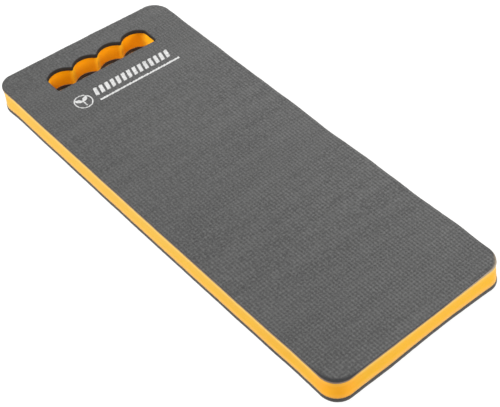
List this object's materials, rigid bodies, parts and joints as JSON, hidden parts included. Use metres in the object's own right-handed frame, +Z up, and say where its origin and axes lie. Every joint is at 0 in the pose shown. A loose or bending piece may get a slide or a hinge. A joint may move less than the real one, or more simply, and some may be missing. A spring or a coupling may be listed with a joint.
{
  "type": "kneeling pad",
  "caption": "Flat rectangular foam kneeling pad with round corners: thick soft core between thin textured skins, and a scalloped hand hole near one end.",
  "frame": {"origin": "middle of the flat underside, at the height the pad rests at", "axes": "+Y along the pad's length towards the hand hole, +X across its width, +Z up out of the kneeling face"},
  "size_m": [0.2, 0.475, 0.0271],
  "materials": {
    "bottom_foam": "matte closed-cell foam with an embossed skin",
    "adhesive": "thin dried adhesive, matte",
    "core_foam": "matte closed-cell foam, die-cut sides",
    "top_foam": "matte closed-cell foam with a fine embossed grid",
    "white_ink": "flat screen-print ink"
  },
  "bodies": {
    "root": {"bottom_skin": "bottom_foam", "lower_bond_film": "adhesive", "core": "core_foam", "upper_bond_film": "adhesive", "top_skin": "top_foam", "printed_mark": "white_ink"}
  },
  "joints": []
}
